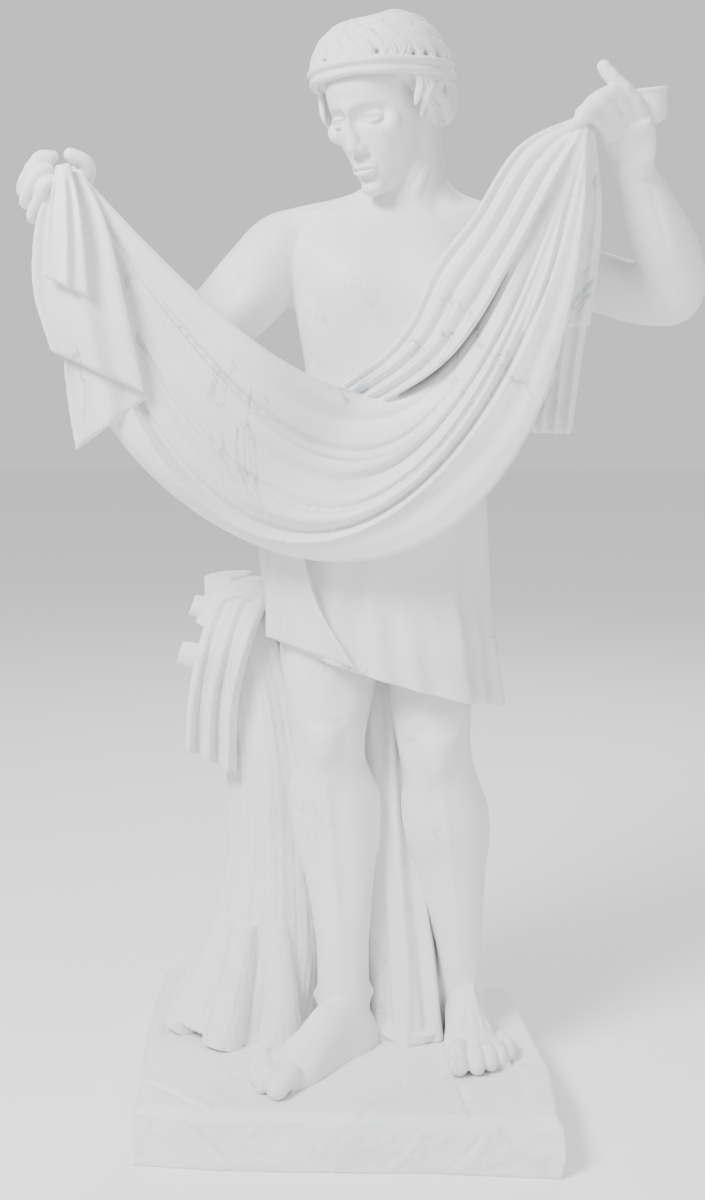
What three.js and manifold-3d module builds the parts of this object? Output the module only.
// A standing youth carved from one block of white marble, with his rock base, the tree trunk
// that supports him and the cloth he holds out in front of his body.
// Millimetres, +Z up. The origin is the middle of the base's underside, the figure faces -Y,
// and +X is on his left-hand side.
import * as THREE from 'three';
import { mergeVertices } from 'three/addons/utils/BufferGeometryUtils.js';
import Module from 'manifold-3d';

const wasm = await Module();
wasm.setup();

// ---------------------------------------------------------------- driving dimensions

const BASE_WIDTH = 670;
const BASE_DEPTH = 540;
const BASE_TOP = 95;
const HEAD_CENTRE = [56, 8, 1663];
const HEAD_YAW = -36;
const HEAD_PITCH = 17;
const HEAD_ROLL = -4;
const SKULL = { width: 101, front: 114, back: 132, up: 110 };
const RIGHT_HAND = [-400, -222, 1515];
const LEFT_HAND = [346, -196, 1590];
const GRIP_SPREAD = 26;
const SWAG_THICKNESS = 44;
const CLOTH_EDGE = 9;

// ---------------------------------------------------------------- small helpers

const V = (x, y, z) => new THREE.Vector3(x, y, z);
const lerp = THREE.MathUtils.lerp;
const rad = THREE.MathUtils.degToRad;
const clamp01 = (t) => Math.min(1, Math.max(0, t));
const ease = (s) => s * s * (3 - 2 * s);
const smooth = (a, b, t) => ease(clamp01((t - a) / (b - a)));
const bump = (t, centre, width) => Math.exp(-(((t - centre) / width) ** 2));

// Value of a smooth line through [position, value] knots.
function through(knots, t) {
  let i = 0;
  while (i < knots.length - 2 && t > knots[i + 1][0]) i++;
  const [a, b] = [knots[i], knots[i + 1]];
  const s = clamp01((t - a[0]) / (b[0] - a[0]));
  return lerp(a[1], b[1], ease(s));
}

// A smooth curve through points given as [x, y, z].
const curveThrough = (points) => new THREE.CatmullRomCurve3(points.map((p) => V(...p)));

// Points and triangles as a solid, turned so that its faces look outwards.
function solid(points, faces) {
  let volume = 0;
  for (let i = 0; i < faces.length; i += 3) {
    const [a, b, c] = [points[faces[i]], points[faces[i + 1]], points[faces[i + 2]]];
    volume += a.dot(b.clone().cross(c));
  }
  if (volume < 0) faces.reverse();
  return new wasm.Manifold(new wasm.Mesh({
    numProp: 3,
    vertProperties: new Float32Array(points.flatMap((p) => [p.x, p.y, p.z])),
    triVerts: new Uint32Array(faces),
  }));
}

// A three.js geometry as a solid.
function solidOf(geometry) {
  geometry.deleteAttribute('normal');
  geometry.deleteAttribute('uv');
  const merged = mergeVertices(geometry, 1e-3);
  const place = merged.getAttribute('position');
  const points = [];
  for (let i = 0; i < place.count; i++) points.push(new THREE.Vector3().fromBufferAttribute(place, i));
  return solid(points, Array.from(merged.index.array));
}

// A skin over closed rings of points, with a fan over each end.
function skin(rings) {
  const sides = rings[0].length;
  const points = rings.flat();
  const faces = [];
  for (let r = 0; r < rings.length - 1; r++) {
    for (let s = 0; s < sides; s++) {
      const a = r * sides + s;
      const b = r * sides + ((s + 1) % sides);
      faces.push(a, b, b + sides, a, b + sides, a + sides);
    }
  }
  const cap = (ring, flip) => {
    const middle = points.length;
    const centre = rings[ring].reduce((sum, p) => sum.add(p), V(0, 0, 0)).divideScalar(sides);
    points.push(centre);
    for (let s = 0; s < sides; s++) {
      const a = ring * sides + s;
      const b = ring * sides + ((s + 1) % sides);
      faces.push(...(flip ? [middle, b, a] : [middle, a, b]));
    }
  };
  cap(0, true);
  cap(rings.length - 1, false);
  return solid(points, faces);
}

// Lifts a point on a skin away from its section's centre by rounded swellings, each given as
// [x, y, z, radius, height].
function lifted(point, centre, swellings) {
  const out = point.clone().sub(centre).normalize();
  for (const [x, y, z, radius, height] of swellings) {
    point.addScaledVector(out, height * bump(point.distanceTo(V(x, y, z)), 0, radius));
  }
  return point;
}

// A limb along a smooth path. Each station is [x, y, z, half width, half depth]; front says
// which way its depth lies, ripple(angle, t) scales the section, and muscles are swellings.
function limb(stations, options = {}) {
  const { sides = 12, steps = 1, front = [0, -1, 0], ripple = () => 1, muscles = [] } = options;
  const path = curveThrough(stations.map((s) => s.slice(0, 3)));
  const sizes = curveThrough(stations.map((s) => [s[3], s[4], 0]));
  const count = (stations.length - 1) * steps;
  const rings = [];
  for (let i = 0; i <= count; i++) {
    const t = i / count;
    const along = path.getTangent(t);
    const across = along.clone().cross(V(...front)).normalize();
    const depth = across.clone().cross(along).normalize();
    const size = sizes.getPoint(t);
    const centre = path.getPoint(t);
    rings.push(Array.from({ length: sides }, (_, s) => {
      const angle = (2 * Math.PI * s) / sides;
      const k = ripple(angle, t);
      const point = centre.clone()
        .addScaledVector(across, size.x * k * Math.cos(angle))
        .addScaledVector(depth, size.y * k * Math.sin(angle));
      return lifted(point, centre, muscles);
    }));
  }
  return skin(rings);
}

// A finger or toe: a short limb with a rounded tip, through [x, y, z] joints.
function digit(joints, root, tip, options = {}) {
  const last = joints.length - 1;
  const stations = joints.map((p, i) => {
    const r = lerp(root, tip, i / last);
    return [...p, r, r];
  });
  const end = V(...joints[last]);
  const way = end.clone().sub(V(...joints[last - 1])).normalize();
  const point = end.clone().addScaledVector(way, tip * 0.9);
  stations.push([...point.toArray(), tip * 0.45, tip * 0.45]);
  return limb(stations, { sides: 6, ...options });
}

// An ellipsoid of half sizes [x, y, z], turned by degrees about X, then Z.
function ball(centre, half, { turn = [0, 0], detail = [8, 5] } = {}) {
  const geometry = new THREE.SphereGeometry(1, ...detail);
  geometry.scale(...half);
  geometry.rotateX(rad(turn[0]));
  geometry.rotateZ(rad(turn[1]));
  geometry.translate(...centre);
  return solidOf(geometry);
}

// A slab of carved cloth. front(u, v) is its face and back(u, v) the face behind; us and vs are
// the positions of its grid lines.
function slab(front, back, us, vs) {
  const points = [];
  const faces = [];
  const cols = us.length;
  for (const face of [front, back]) {
    for (const v of vs) {
      for (const u of us) points.push(face(u, v));
    }
  }
  const behind = cols * vs.length;
  const quad = (a, b, c, d) => faces.push(a, b, c, a, c, d);
  for (let r = 0; r < vs.length - 1; r++) {
    for (let c = 0; c < cols - 1; c++) {
      const a = r * cols + c;
      quad(a, a + 1, a + 1 + cols, a + cols);
      quad(behind + a, behind + a + cols, behind + a + 1 + cols, behind + a + 1);
    }
  }
  const rim = [];
  for (let c = 0; c < cols - 1; c++) rim.push(c);
  for (let r = 0; r < vs.length - 1; r++) rim.push(r * cols + cols - 1);
  for (let c = cols - 1; c > 0; c--) rim.push((vs.length - 1) * cols + c);
  for (let r = vs.length - 1; r > 0; r--) rim.push(r * cols);
  rim.forEach((a, i) => {
    const b = rim[(i + 1) % rim.length];
    quad(b, a, behind + a, behind + b);
  });
  return solid(points, faces);
}

const spread = (count) => Array.from({ length: count + 1 }, (_, i) => i / count);

// A hanging panel between two edge curves. relief(u, v) lifts its face towards the front, and
// depth(u, v) is its thickness, thinned to a rolled edge all round.
function panel(left, right, { cols = 8, rows = 6, relief = () => 0, depth = () => 20 }) {
  const [a, b] = [curveThrough(left), curveThrough(right)];
  const face = (u, v) => a.getPoint(v).lerp(b.getPoint(v), u).add(V(0, -relief(u, v), 0));
  const edge = (u, v) => smooth(0, 0.16, Math.min(u, 1 - u)) * smooth(0, 0.12, Math.min(v, 1 - v));
  const front = (u, v) => face(u, v).add(V(0, CLOTH_EDGE * 0.4 * (1 - edge(u, v)), 0));
  const back = (u, v) => face(u, v).add(V(0, lerp(CLOTH_EDGE, depth(u, v), edge(u, v)), 0));
  return slab(front, back, spread(cols), spread(rows));
}

// ---------------------------------------------------------------- base

// A rough-hewn block: sloping sides, broken corners and straight chisel breaks across its faces.
function base() {
  const corners = [
    [-0.5, -0.46], [-0.3, -0.49], [-0.09, -0.5], [0.2, -0.505], [0.505, -0.535], [0.52, -0.2],
    [0.49, 0.15], [0.46, 0.42], [-0.05, 0.52], [-0.53, 0.6], [-0.525, 0.1], [-0.505, -0.2],
  ];
  const ring = (z, inset, wobble) => corners.map(([x, y], i) => V(
    x * (BASE_WIDTH - inset) + wobble * Math.sin(5 * i),
    y * (BASE_DEPTH - inset) + wobble * Math.cos(7 * i),
    z + (z > 70 ? 3 * Math.sin(3 * i + 1) : 0),
  ));
  const block = skin([
    ring(0, 5, 0), ring(10, 2, 0), ring(44, 0, 3), ring(BASE_TOP - 14, 6, 3), ring(BASE_TOP, 30, 4),
  ]);
  // Chisel breaks: wedges cut along straight lines [x0, y0, z0] to [x1, y1, z1].
  const front = (x) => -BASE_DEPTH / 2 - 3 - 0.055 * x;
  const top = BASE_TOP + 2;
  const down = (x0, x1) => [[x0, front(x0), 88], [x1, front(x1), 10]];
  const breaks = [
    down(-268, -178), down(-92, -28), down(122, 60), down(224, 158),
    [[-200, -250, top], [-330, -150, top]],
    [[-205, -236, top], [-182, -130, top]],
    [[28, -250, top], [96, -150, top]],
    [[196, -250, top], [186, -168, top]],
    [[230, -200, top], [338, -120, top]],
    [[-343, -60, 70], [-352, 30, 20]],
    [[-250, 140, top], [-350, 60, top]],
    [[250, 40, top], [338, 110, top]],
  ];
  const wedge = ([from, to]) => {
    const [a, b] = [V(...from), V(...to)];
    const size = a.distanceTo(b);
    const geometry = new THREE.CylinderGeometry(7, 7, size, 4, 1);
    geometry.rotateX(Math.PI / 2);
    geometry.lookAt(b.clone().sub(a));
    geometry.translate(...a.clone().add(b).divideScalar(2).toArray());
    return solidOf(geometry);
  };
  return breaks.map(wedge).reduce((body, cut) => body.subtract(cut), block);
}

// ---------------------------------------------------------------- tree trunk and its cloth

function trunk() {
  const bark = (angle, t) => 1 + 0.035 * Math.cos(8 * angle + 1) * smooth(0, 0.2, t);
  const shaft = limb([
    [-184, 68, 84, 142, 92], [-170, 72, 130, 128, 84], [-150, 74, 200, 114, 78],
    [-138, 75, 263, 102, 74], [-128, 78, 408, 76, 68], [-132, 80, 557, 73, 68],
    [-152, 88, 700, 68, 60], [-176, 95, 800, 56, 52], [-196, 100, 850, 43, 42],
    [-200, 100, 889, 40, 39],
  ], { sides: 16, ripple: bark });
  // Two lopped branches and three spreading roots.
  const knots = [
    digit([[-215, 98, 820], [-262, 95, 837]], 26, 17),
    digit([[-220, 92, 735], [-284, 86, 756]], 30, 19),
  ];
  const roots = [
    limb([[-205, 60, 300, 22, 30], [-240, 50, 190, 30, 28], [-292, 40, 98, 32, 30]], { sides: 6 }),
    limb([[-170, 20, 300, 24, 26], [-190, 0, 190, 30, 30], [-212, -22, 94, 36, 34]], { sides: 6 }),
    limb([[-120, 24, 300, 24, 24], [-112, 6, 190, 28, 26], [-108, -12, 94, 36, 30]], { sides: 6 }),
  ];
  return [shaft, ...knots, ...roots];
}

// The end of a cloth thrown over the trunk, in three deep folds.
function trunkCloth() {
  const folds = (u, v) => 11 * Math.cos(2 * Math.PI * (2.6 * u - 0.12)) * lerp(0.5, 1, v);
  const front = panel(
    [[-206, 66, 868], [-240, 34, 800], [-262, 14, 700], [-270, 12, 602]],
    [[-120, 42, 872], [-150, 0, 800], [-178, -4, 690], [-184, 6, 560]],
    { cols: 8, rows: 5, relief: folds, depth: () => 60 },
  );
  const over = limb([
    [-118, 60, 852, 26, 22], [-160, 66, 866, 30, 22], [-205, 80, 850, 26, 22], [-236, 70, 800, 22, 22],
  ], { sides: 6, front: [0, -0.3, 1] });
  return [front, over];
}

// The long fall of cloth behind and between the legs, down to the rock.
function fallingCloth() {
  const folds = (angle, t) => 1 + 0.09 * Math.cos(7 * angle + 2 * t);
  return limb([
    [68, 96, 800, 66, 40], [70, 92, 680, 56, 40], [72, 86, 560, 48, 42], [82, 76, 400, 54, 50],
    [96, 62, 234, 62, 58], [102, 50, 150, 66, 64], [106, 46, 88, 70, 70],
  ], { sides: 14, ripple: folds });
}

// ---------------------------------------------------------------- legs and feet

function legs() {
  const right = limb([
    [-18, 52, 920, 92, 92], [-24, 36, 800, 87, 88], [-26, 28, 745, 81, 82], [-27, 20, 690, 70, 74],
    [-29, 12, 635, 61, 65], [-28, 20, 590, 60, 61], [-22, 33, 520, 74, 67], [-15, 31, 440, 68, 61],
    [-9, 14, 350, 54, 49], [-6, 0, 260, 44, 43], [-5, -6, 187, 44, 43], [-3, -4, 130, 44, 46],
    [0, -6, 92, 42, 44],
  ], {
    sides: 12, front: [-0.3, -1, 0],
    muscles: [[-38, -50, 628, 34, 7], [-50, 0, 178, 16, 7], [38, 0, 186, 16, 7], [-60, -20, 760, 60, 4]],
  });
  const left = limb([
    [138, 60, 920, 92, 94], [141, 48, 800, 82, 84], [141, 34, 685, 67, 70], [147, 20, 616, 61, 63],
    [155, 28, 570, 60, 58], [169, 45, 483, 69, 64], [178, 50, 400, 62, 57], [188, 51, 310, 48, 46],
    [195, 54, 240, 39, 42], [200, 57, 178, 38, 42], [201, 64, 130, 40, 48], [202, 66, 92, 38, 46],
  ], {
    sides: 12, front: [0.1, -1, 0],
    muscles: [
      [149, -40, 612, 34, 7], [162, 58, 178, 16, 7], [240, 62, 172, 16, 7], [110, -10, 670, 40, 5],
    ],
  });
  return [right, left];
}

// A bare foot of the given length, from its heel along a heading; side is +1 when its big toe
// lies to the right of that heading.
function foot(heel, heading, length, side) {
  const along = V(Math.sin(rad(heading)), -Math.cos(rad(heading)), 0);
  const out = V(-along.y, along.x, 0).multiplyScalar(side);
  const at = (s, n, z) => V(...heel).addScaledVector(along, s).addScaledVector(out, n).setZ(BASE_TOP + z);
  // Distance from the heel, middle line, half width and height of each section.
  const sections = [
    [-6, 0, 22, 36], [12, 0, 35, 66], [42, 0, 38, 90], [80, 2, 38, 98], [118, 6, 42, 84],
    [152, 10, 47, 64], [190, 15, 53, 44], [230, 23, 50, 26],
  ].map(([s, n, w, h]) => [(s * length) / 275, n, w, h]);
  const body = skin(sections.map(([s, n, w, h]) => Array.from({ length: 12 }, (_, i) => {
    const angle = (2 * Math.PI * i) / 12;
    const rise = Math.sin(angle);
    const lean = rise > 0 ? -n * 0.6 * rise : 0;
    return at(s, n + lean + w * Math.cos(angle), rise > 0 ? h * rise : 8 * rise);
  })));
  // Tip distance, sideways place and radius of each toe, big toe first.
  const toes = [[276, -20, 18], [270, 11, 14], [256, 34, 13.5], [238, 53, 13], [216, 69, 12.5]];
  const toe = ([s, n, r], i) => {
    const tip = (s * length) / 275;
    const start = at(tip - 66, n * 0.86 + 2, 22 - 2 * i);
    const joint = at(tip - 32, n * 0.97, i ? 22 : 19);
    const end = at(tip - r, n, r - 2);
    return digit([start, joint, end].map((p) => p.toArray()), r * 0.95, r, { front: [0, 0, 1] });
  };
  return [body, ...toes.map(toe)];
}

// ---------------------------------------------------------------- torso, neck and arms

function torso() {
  // Height, middle x and y, half width, and depth in front of and behind the middle.
  const levels = [
    [880, 60, 54, 166, 118, 122], [980, 59, 48, 158, 110, 118], [1060, 59, 45, 143, 104, 100],
    [1140, 61, 42, 130, 100, 90], [1224, 63, 40, 129, 103, 87], [1300, 64, 38, 141, 110, 96],
    [1360, 66, 40, 152, 112, 106], [1410, 70, 45, 162, 104, 108], [1450, 77, 50, 152, 84, 95],
    [1482, 90, 52, 106, 62, 74], [1512, 99, 46, 68, 54, 58],
  ];
  const centre = curveThrough(levels.map(([z, x, y]) => [x, y, z]));
  const size = curveThrough(levels.map(([, , , w, f, b]) => [w, f, b]));
  const square = (c) => Math.sign(c) * Math.abs(c) ** 0.86;
  const muscles = [
    [0, -70, 1378, 52, 15], [140, -66, 1378, 52, 15], [20, -68, 1345, 26, 7], [118, -66, 1345, 26, 7],
    [-16, 130, 1395, 60, 16], [150, 130, 1395, 60, 16], [-60, -20, 1310, 34, 6],
    [66, -70, 1446, 18, -5], [66, -74, 1330, 20, -6], [66, -70, 1250, 18, -5],
  ];
  const yaw = rad(8);
  const sides = 22;
  const rings = spread(levels.length - 1).map((t) => {
    const [c, s] = [centre.getPoint(t), size.getPoint(t)];
    return Array.from({ length: sides }, (_, i) => {
      const angle = (2 * Math.PI * i) / sides;
      const x = s.x * square(Math.cos(angle));
      const y = (Math.sin(angle) < 0 ? s.y : s.z) * square(Math.sin(angle));
      const turned = V(x * Math.cos(yaw) - y * Math.sin(yaw), x * Math.sin(yaw) + y * Math.cos(yaw), 0);
      return lifted(turned.add(c), c, muscles);
    });
  });
  const neck = limb([
    [108, 54, 1470, 68, 62], [104, 44, 1520, 58, 58], [95, 36, 1570, 58, 60], [82, 28, 1625, 60, 66],
  ]);
  const trapezius = [
    [[84, 56, 1536, 44, 26], [34, 60, 1482, 62, 38], [-84, 50, 1440, 54, 48]],
    [[124, 56, 1536, 44, 26], [156, 60, 1486, 62, 38], [228, 54, 1446, 54, 48]],
  ].map((stations) => limb(stations, { sides: 8, front: [0, 0, 1] }));
  return [skin(rings), neck, ...trapezius];
}

function arms() {
  const right = limb([
    [-46, 52, 1430, 44, 50], [-94, 46, 1426, 60, 60], [-136, 24, 1378, 66, 64], [-184, 0, 1326, 56, 60],
    [-246, -32, 1268, 49, 50], [-304, -62, 1220, 46, 46], [-330, -90, 1250, 46, 46],
    [-362, -130, 1334, 42, 42], [-394, -162, 1406, 33, 30], [-410, -182, 1448, 33, 27],
    [-420, -196, 1478, 38, 28],
  ], { front: [-0.6, 0.3, 0.7] });
  const left = limb([
    [176, 54, 1440, 44, 48], [226, 52, 1438, 60, 58], [276, 44, 1418, 55, 54], [340, 32, 1394, 50, 52],
    [420, 14, 1366, 47, 49], [482, 4, 1350, 48, 48], [514, -10, 1356, 53, 50], [504, -36, 1404, 54, 48],
    [478, -66, 1450, 49, 43], [452, -92, 1496, 39, 34], [433, -112, 1530, 32, 26],
    [428, -124, 1552, 35, 24],
  ], { front: [0.4, -0.8, 0.2] });
  return [right, left];
}

// ---------------------------------------------------------------- hands and cup

function rightHand() {
  const palm = limb([
    [-410, -180, 1444, 34, 27], [-424, -192, 1470, 40, 27], [-432, -198, 1500, 40, 26],
    [-426, -200, 1524, 28, 22],
  ], { sides: 8, front: [-0.5, -0.8, 0.2] });
  // Four curled fingers, little finger lowest.
  const fingers = [
    [[-440, -196, 1456], [-449, -216, 1453], [-434, -238, 1478], [-424, -245, 1496], [-410, -238, 1500]],
    [[-444, -194, 1474], [-459, -212, 1474], [-446, -233, 1496], [-434, -240, 1513], [-420, -232, 1516]],
    [[-444, -190, 1492], [-464, -205, 1490], [-452, -226, 1511], [-438, -232, 1528], [-422, -224, 1530]],
    [[-438, -188, 1508], [-457, -196, 1512], [-446, -213, 1526], [-434, -219, 1537], [-418, -212, 1538]],
  ].map((joints) => digit(joints, 11.5, 9.5));
  const joints = [[-408, -178, 1490], [-376, -186, 1512], [-374, -196, 1530], [-394, -205, 1541]];
  const thumb = digit(joints, 14, 10.5);
  return [palm, ...fingers, thumb];
}

function leftHand() {
  const palm = limb([
    [430, -114, 1530, 31, 23], [424, -134, 1556, 37, 21], [414, -152, 1580, 40, 19],
    [408, -164, 1594, 38, 16],
  ], { sides: 8, front: [-0.35, -0.75, 0.55] });
  // Index stretched, the other three bent over the cloth.
  const fingers = [
    [[436, -160, 1594], [420, -180, 1616], [400, -192, 1634], [381, -196, 1650], [370, -196, 1664]],
    [[422, -162, 1592], [402, -186, 1614], [384, -200, 1627], [364, -204, 1620], [352, -198, 1612]],
    [[404, -162, 1582], [386, -188, 1602], [368, -201, 1612], [350, -204, 1606], [340, -196, 1599]],
    [[388, -158, 1570], [370, -182, 1588], [354, -196, 1596], [338, -200, 1590], [330, -192, 1582]],
  ].map((joints, i) => digit(joints, [13, 12.5, 12, 11][i], [10, 10.5, 10.5, 9.5][i]));
  const thumb = digit([[424, -122, 1556], [400, -140, 1584], [372, -160, 1604]], 15, 11);
  return [palm, ...fingers, thumb];
}

// A small round cup held behind the left hand, its mouth tipped towards the front.
function cup() {
  const [radius, height, wall, hollow] = [29, 52, 5, 30];
  const profile = [
    [0, 0], [radius * 0.55, 0], [radius * 0.88, 7], [radius, 20], [radius, height],
    [radius - wall, height], [radius - wall, height - hollow], [0, height - hollow],
  ].map(([x, y]) => new THREE.Vector2(x, y));
  const geometry = new THREE.LatheGeometry(profile, 14);
  geometry.rotateX(Math.PI / 2);
  geometry.rotateX(rad(8));
  geometry.rotateY(rad(-6));
  geometry.translate(446, -140, 1592);
  return solidOf(geometry);
}

// ---------------------------------------------------------------- head

// Places a solid made around the head's own centre, looking along -Y, on the turned neck.
function headPlace(part) {
  const turn = new THREE.Matrix4().makeRotationFromEuler(
    new THREE.Euler(rad(HEAD_PITCH), rad(HEAD_ROLL), rad(HEAD_YAW), 'ZYX'),
  );
  turn.setPosition(...HEAD_CENTRE);
  return part.transform(turn.toArray());
}

function head() {
  // Height, half width, front and back of the face's sections, forehead to chin.
  const levels = [
    [56, 62, -92, 60], [34, 66, -101, 50], [16, 70, -106, 40], [0, 70, -101, 40], [-20, 71, -101, 40],
    [-45, 69, -100, 38], [-66, 63, -97, 32], [-82, 58, -95, 24], [-100, 51, -93, 14], [-120, 40, -91, -4],
    [-138, 27, -86, -24], [-147, 14, -78, -44],
  ];
  const features = [
    [-30, -98, 20, 16, 5], [30, -98, 20, 16, 5], [0, -104, 10, 14, -3],
    [-31, -94, 2, 12, 4], [31, -94, 2, 12, 4], [-14, -100, -8, 9, -7], [14, -100, -8, 9, -7],
    [0, -100, -72, 16, 6], [0, -98, -88, 10, -3], [0, -92, -124, 22, 9], [-44, -78, -34, 26, 3],
    [44, -78, -34, 26, 3],
  ];
  const rings = levels.map(([z, w, f, b]) => Array.from({ length: 18 }, (_, i) => {
    const angle = (2 * Math.PI * (i + 0.5)) / 18;
    const reach = Math.sin(angle) < 0 ? f : b;
    const point = V(w * Math.cos(angle), Math.abs(Math.sin(angle)) ** 0.8 * reach, z);
    return lifted(point, V(0, 0, z), features);
  }));
  const nose = digit([[0, -94, 14], [0, -104, -10], [0, -110, -40]], 8, 12);
  const ears = [-1, 1].map((s) => ball([s * 74, 22, -36], [9, 19, 30]));
  return [skin(rings), nose, ...ears].map(headPlace);
}

// How wide the skull is at a height, as a part of its full width.
const skullWidth = (height) => Math.max(0, 1 - height * height) ** 0.36;

// The band sits high on the forehead and low at the nape.
const bandLevel = (angle) => 20 + 30 * Math.cos(angle);

// Wavy hair over the crown and down to the nape, with a row of curled locks over the band.
function hair() {
  const locks = 12;
  const sides = 36;
  const cap = skin(spread(8).map((v) => Array.from({ length: sides }, (_, i) => {
    const angle = (2 * Math.PI * i) / sides;
    const behind = smooth(0.1, -0.4, Math.cos(angle));
    const lowest = lerp(Math.acos((bandLevel(angle) - 4) / SKULL.up), 0.77 * Math.PI, behind);
    const down = lerp(0.03 * Math.PI, lowest, v);
    const wave = Math.cos(locks * angle + 9 * v + 0.8 * Math.sin(14 * v));
    const grow = 1 + 0.06 * wave * smooth(0, 0.25, v);
    const reach = Math.cos(angle) > 0 ? SKULL.front : SKULL.back;
    const wide = skullWidth(Math.cos(down)) * grow;
    return V(
      SKULL.width * wide * Math.sin(angle),
      -reach * wide * Math.cos(angle),
      SKULL.up * grow * Math.cos(down),
    );
  })));
  const sideburns = [-1, 1].flatMap((s) => [0, 1].map((k) => digit([
    [s * 80, -10 + 26 * k, 14], [s * 80, -16 + 40 * k, -14], [s * 70, -10 + 52 * k, -36 - 28 * k],
  ], 13, 8)));
  // The band: two rolled ridges, high on the forehead and low at the nape.
  const steps = 26;
  const ridges = [
    [-13, 1], [-12, 7], [-7, 9], [-1, 5], [2, 5], [8, 9], [13, 7], [14, 1], [12, -8], [-11, -8],
  ];
  const points = [];
  const faces = [];
  for (let i = 0; i < steps; i++) {
    const angle = (2 * Math.PI * i) / steps;
    const reach = Math.cos(angle) > 0 ? SKULL.front : SKULL.back;
    const level = bandLevel(angle);
    const wide = skullWidth(level / SKULL.up);
    for (const [rise, out] of ridges) {
      points.push(V(
        (SKULL.width * wide - 2 + out) * Math.sin(angle),
        -(reach * wide - 2 + out) * Math.cos(angle),
        level + rise,
      ));
    }
    for (let k = 0; k < ridges.length; k++) {
      const next = (k + 1) % ridges.length;
      const [a, b] = [i * ridges.length, ((i + 1) % steps) * ridges.length];
      faces.push(a + k, b + k, b + next, a + k, b + next, a + next);
    }
  }
  return [cap, ...sideburns, solid(points, faces)].map(headPlace);
}

// ---------------------------------------------------------------- the held cloth

// Hanging lines of the swag from the right hand to the left, upper rim first. Each is a Bezier
// curve: its place down the cloth, and the two inner control points [x, z].
const HANGING = [
  { v: 0, first: [112, 962], second: [163, 1224] },
  { v: 0.33, first: [6, 878], second: [143, 1052] },
  { v: 0.67, first: [-172, 880], second: [129, 822] },
  { v: 0.82, first: [-260, 624], second: [284, 977] },
  { v: 1, first: [-519, 933], second: [369, 566] },
];
// Crests and valleys down the middle of the swag: place and height.
const SWAG_FOLDS = [
  [0, 0], [0.05, 12], [0.2, 17], [0.28, 5], [0.325, -16], [0.365, 16], [0.5, 8], [0.6, 13],
  [0.668, -10], [0.7, 12], [0.772, -8], [0.815, 18], [0.92, 14], [1, 0],
];

function swag() {
  const line = (v) => {
    const inner = (key, k) => through(HANGING.map((h) => [h.v, h[key][k]]), v);
    const start = V(...RIGHT_HAND).add(V(GRIP_SPREAD * (0.5 - v), 0, GRIP_SPREAD * (0.5 - v) * 0.8));
    const end = V(...LEFT_HAND).add(V(GRIP_SPREAD * 0.3 * (v - 0.5), 0, GRIP_SPREAD * (0.5 - v)));
    return (u) => {
      const w = 1 - u;
      const blend = (a, b, c, d) => w * w * w * a + 3 * w * w * u * b + 3 * w * u * u * c + u * u * u * d;
      return V(
        blend(start.x, inner('first', 0), inner('second', 0), end.x),
        0,
        blend(start.z, inner('first', 1), inner('second', 1), end.z),
      );
    };
  };
  // How far in front of the hands' line the cloth stands: it falls back to the body at its rim.
  const stand = (u, v) => {
    const middle = through([[0, -84], [0.12, -126], [0.4, -152], [0.8, -160], [1, -146]], v);
    const sides = through([[0, RIGHT_HAND[1]], [0.18, -205], [0.42, middle], [0.6, middle], [0.85, -178],
      [1, LEFT_HAND[1]]], u);
    return sides;
  };
  const open = (u) => smooth(0, 0.22, Math.min(u, 1 - u));
  const front = (u, v) => {
    const relief = through(SWAG_FOLDS, v) * lerp(0.28, 1, open(u));
    return line(v)(u).setY(stand(u, v) - relief);
  };
  const back = (u, v) => {
    const edge = smooth(0, 0.1, Math.min(v, 1 - v));
    const body = smooth(0.25, 0.4, u) * smooth(0.8, 0.68, u);
    const depth = lerp(lerp(SWAG_THICKNESS * 0.7, SWAG_THICKNESS, open(u)), 120, body);
    return front(u, v).add(V(0, lerp(CLOTH_EDGE, depth, edge), 0));
  };
  return slab(front, back, spread(18), SWAG_FOLDS.map(([v]) => v));
}

// Folds that run from the left hand down inside the swag, against the chest.
function innerFolds() {
  const ridges = (u, v) => 9 * Math.cos(2 * Math.PI * (3.2 * u)) * lerp(0.25, 1, smooth(0, 0.3, v));
  return panel(
    [[350, -182, 1604], [255, -172, 1560], [185, -146, 1455], [135, -124, 1392], [98, -104, 1308],
      [58, -96, 1258], [-14, -96, 1206]],
    [[344, -200, 1582], [306, -206, 1510], [254, -200, 1410], [200, -184, 1310], [160, -164, 1256],
      [120, -150, 1222], [60, -130, 1186]],
    { cols: 8, rows: 8, relief: ridges, depth: (u, v) => lerp(46, 96, smooth(0.3, 0.8, v)) },
  );
}

// The fan below the left hand and the loose tail that hangs behind it.
function leftFall() {
  const pleats = (u, v) => 8 * Math.cos(2 * Math.PI * (3.4 * u + 0.1)) * lerp(0.35, 1, v);
  const fan = panel(
    [[338, -196, 1586], [322, -198, 1500], [300, -196, 1400], [262, -186, 1290]],
    [[362, -184, 1582], [380, -158, 1480], [382, -132, 1390], [374, -112, 1300]],
    { cols: 7, rows: 4, relief: pleats, depth: () => 74 },
  );
  const tail = panel(
    [[300, -110, 1420], [296, -100, 1330], [292, -92, 1240], [288, -84, 1136]],
    [[380, -96, 1420], [376, -84, 1330], [366, -72, 1230], [357, -62, 1134]],
    { cols: 7, rows: 4, relief: pleats, depth: () => 42 },
  );
  const link = panel(
    [[220, -60, 1450], [230, -40, 1380], [240, -40, 1300], [250, -40, 1200]],
    [[340, -120, 1450], [340, -110, 1380], [330, -100, 1300], [320, -90, 1200]],
    { cols: 3, rows: 3, depth: () => 60 },
  );
  return [fan, tail, link];
}

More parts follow.
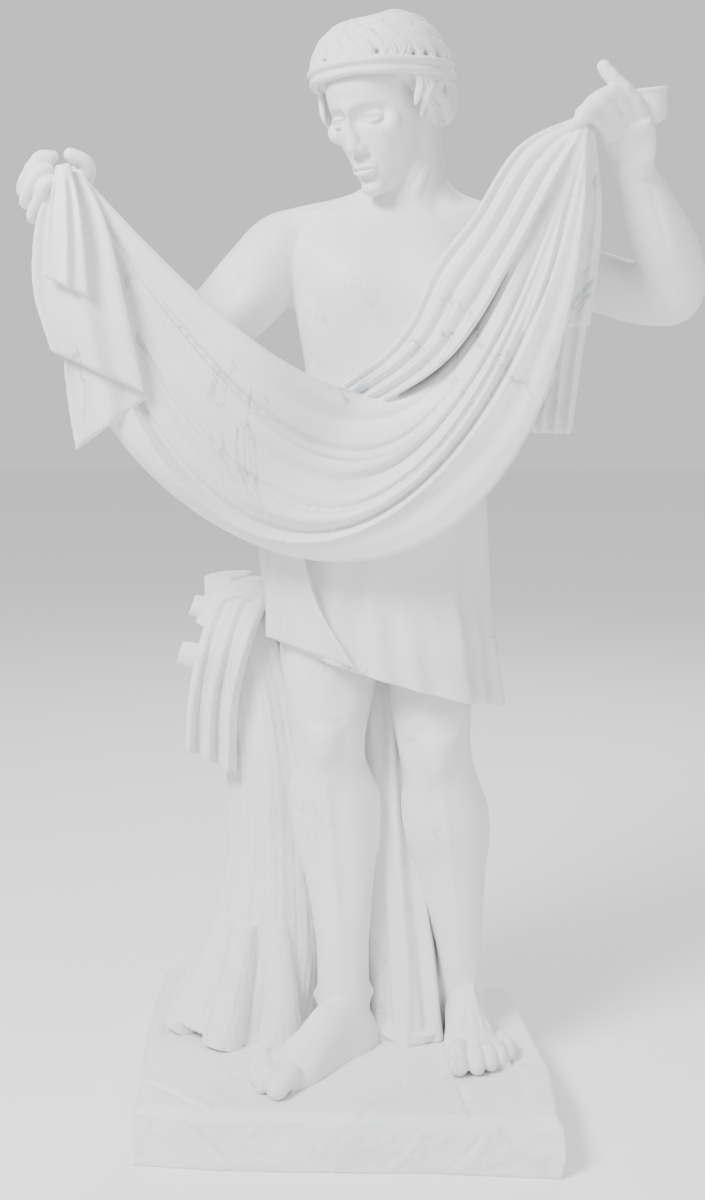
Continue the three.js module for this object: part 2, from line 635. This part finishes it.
// Three layers of cloth that spill from the right fist, the front one shortest.
function cascade() {
  const layer = (left, right, waves, tall, rows) => panel(left, right, {
    cols: 6, rows, depth: () => tall,
    relief: (u, v) => waves * Math.cos(2 * Math.PI * (1.6 * u + 0.15)) * smooth(0, 0.3, v),
  });
  return [
    layer([[-408, -252, 1522], [-418, -268, 1450], [-426, -270, 1366]],
      [[-388, -250, 1526], [-370, -270, 1450], [-362, -274, 1338]], 5, 26, 4),
    layer([[-418, -236, 1506], [-440, -248, 1440], [-446, -250, 1350], [-424, -248, 1262]],
      [[-374, -232, 1520], [-338, -250, 1440], [-314, -252, 1330], [-290, -246, 1202]], 6, 34, 6),
    layer([[-396, -222, 1470], [-408, -226, 1340], [-408, -228, 1220], [-396, -226, 1118]],
      [[-350, -222, 1440], [-318, -226, 1340], [-300, -228, 1260], [-288, -224, 1196]], 5, 26, 5),
  ];
}

// The short wrapped skirt, with a hem that slants down to the left thigh.
function skirt() {
  const top = 1130;
  const hem = (x) => 800 - 0.31 * (x + 125);
  // Place down the skirt, middle x, half width, and depth in front and behind.
  const levels = [[0, 58, 144, 106, 100], [0.3, 56, 176, 122, 118], [0.6, 45, 190, 130, 126],
    [0.85, 56, 194, 132, 128], [1, 68, 192, 132, 130]];
  const pick = (v, k) => through(levels.map((l) => [l[0], l[k]]), v);
  const ring = (v, inset, lift) => Array.from({ length: 32 }, (_, i) => {
    const angle = (2 * Math.PI * i) / 32;
    const fold = (4 * Math.cos(7 * angle + 0.6) + 3 * Math.cos(10 * angle + 2)) * smooth(0.1, 0.9, v);
    const grow = fold - inset;
    const x = pick(v, 1) + (pick(v, 2) + grow) * Math.cos(angle);
    const y = 42 + (pick(v, Math.sin(angle) < 0 ? 3 : 4) + grow) * Math.sin(angle);
    return V(x, y, lerp(top, hem(x), v) + lift);
  });
  const body = skin([...spread(5).map((v) => ring(v, 0, 0)), ring(1, 12, 0), ring(1, 26, 34)]);
  const overlap = panel(
    [[-120, -50, 960], [-128, -52, 880], [-130, -42, 806]],
    [[-70, -96, 960], [-44, -104, 870], [16, -104, 766]],
    { cols: 3, rows: 3, depth: () => 44 },
  );
  return [body, overlap];
}

// ---------------------------------------------------------------- the statue

const pieces = [
  base(), ...trunk(), ...trunkCloth(), fallingCloth(), ...legs(),
  ...foot([34, 18, 0], -36, 290, -1), ...foot([199, 122, 0], 1, 272, 1),
  ...torso(), ...arms(), ...rightHand(), ...leftHand(), cup(), ...head(), ...hair(),
  swag(), innerFolds(), ...leftFall(), ...cascade(), ...skirt(),
];
const carved = pieces.reduce((body, piece) => body.add(piece));


// The stone is solid: only the outer skin is kept, without the small gaps closed in where
// carved forms run together.
function outerSkin(faces, count) {
  const parent = Array.from({ length: count }, (_, i) => i);
  const root = (i) => {
    while (parent[i] !== i) {
      parent[i] = parent[parent[i]];
      i = parent[i];
    }
    return i;
  };
  const sizes = new Map();
  for (let i = 0; i < faces.length; i += 3) {
    parent[root(faces[i])] = root(faces[i + 1]);
    parent[root(faces[i + 1])] = root(faces[i + 2]);
  }
  for (const i of faces) sizes.set(root(i), (sizes.get(root(i)) ?? 0) + 1);
  const largest = [...sizes].sort((a, b) => b[1] - a[1])[0][0];
  const kept = [];
  for (let i = 0; i < faces.length; i += 3) {
    if (root(faces[i]) === largest) kept.push(faces[i], faces[i + 1], faces[i + 2]);
  }
  return kept;
}

// Draws short edges together where that moves the surface by less than the tolerance, which
// clears the slivers along the lines where carved forms run into each other.
function thinned(points, faces, longest, tolerance) {
  const around = points.map(() => new Set());
  const corners = [];
  for (let f = 0; f < faces.length / 3; f++) {
    corners.push(faces.slice(3 * f, 3 * f + 3));
    corners[f].forEach((i) => around[i].add(f));
  }
  const plane = new THREE.Triangle();
  const facing = (ids, from, to) => {
    const [a, b, c] = ids.map((i) => (i === from[0] || i === from[1] ? to : points[i]));
    plane.set(a ?? points[ids[0]], b ?? points[ids[1]], c ?? points[ids[2]]);
    return plane.getNormal(V(0, 0, 0));
  };
  const neighbours = (i) => new Set([...around[i]].flatMap((f) => corners[f]).filter((k) => k !== i));
  // How far a point stands off the faces around an edge, or nothing if it would fold one over.
  const strain = (a, b, point, touching) => {
    let worst = 0;
    for (const f of touching) {
      const ids = corners[f];
      const before = facing(ids, [-1, -1], null);
      plane.set(points[ids[0]], points[ids[1]], points[ids[2]]);
      const width = (2 * plane.getArea()) / Math.max(
        ...ids.map((i, k) => points[i].distanceTo(points[ids[(k + 1) % 3]])),
      );
      if (width > 0.05) worst = Math.max(worst, Math.abs(before.dot(point.clone().sub(points[ids[0]]))));
      const both = ids.includes(a) && ids.includes(b);
      if (!both && width > 0.05 && before.dot(facing(ids, [a, b], point)) < 0.35) return Infinity;
      if (!both) {
        facing(ids, [a, b], point);
        if (plane.getArea() < 0.02) return Infinity;
      }
    }
    return worst;
  };
  let changed = true;
  while (changed) {
    changed = false;
    const edges = [];
    corners.forEach((ids) => ids?.forEach((i, k) => {
      const j = ids[(k + 1) % 3];
      const size = points[i].distanceTo(points[j]);
      if (i < j && size < longest) edges.push([size, i, j]);
    }));
    edges.sort((p, q) => p[0] - q[0]);
    for (const [, a, b] of edges) {
      const shared = [...around[a]].filter((f) => around[b].has(f));
      const common = [...neighbours(a)].filter((k) => neighbours(b).has(k));
      if (shared.length !== 2 || common.length !== 2) continue;
      if (points[a].distanceTo(points[b]) > longest) continue;
      const touching = new Set([...around[a], ...around[b]]);
      const options = [points[a].clone(), points[b].clone(), points[a].clone().lerp(points[b], 0.5)];
      const costs = options.map((point) => strain(a, b, point, touching));
      const best = costs.indexOf(Math.min(...costs));
      if (costs[best] > tolerance) continue;
      points[a] = options[best];
      for (const f of shared) {
        corners[f].forEach((i) => around[i].delete(f));
        corners[f] = null;
      }
      for (const f of around[b]) {
        corners[f] = corners[f].map((i) => (i === b ? a : i));
        around[a].add(f);
      }
      around[b].clear();
      changed = true;
    }
  }
  return corners.filter((ids) => ids).flat();
}

const { vertProperties, triVerts } = carved.getMesh();
const points = [];
for (let i = 0; i < vertProperties.length; i += 3) points.push(V(...vertProperties.subarray(i, i + 3)));
const faces = thinned(points, outerSkin(Array.from(triVerts), points.length), 16, 1.1);
const geometry = new THREE.BufferGeometry().setFromPoints(faces.map((i) => points[i]));
geometry.computeVertexNormals();

const marble = new THREE.MeshStandardMaterial({ color: '#e6e6e5', roughness: 0.6, metalness: 0 });
const statue = new THREE.Mesh(geometry, marble);
statue.name = 'statue';

const group = new THREE.Group();
group.add(statue);

export default group;
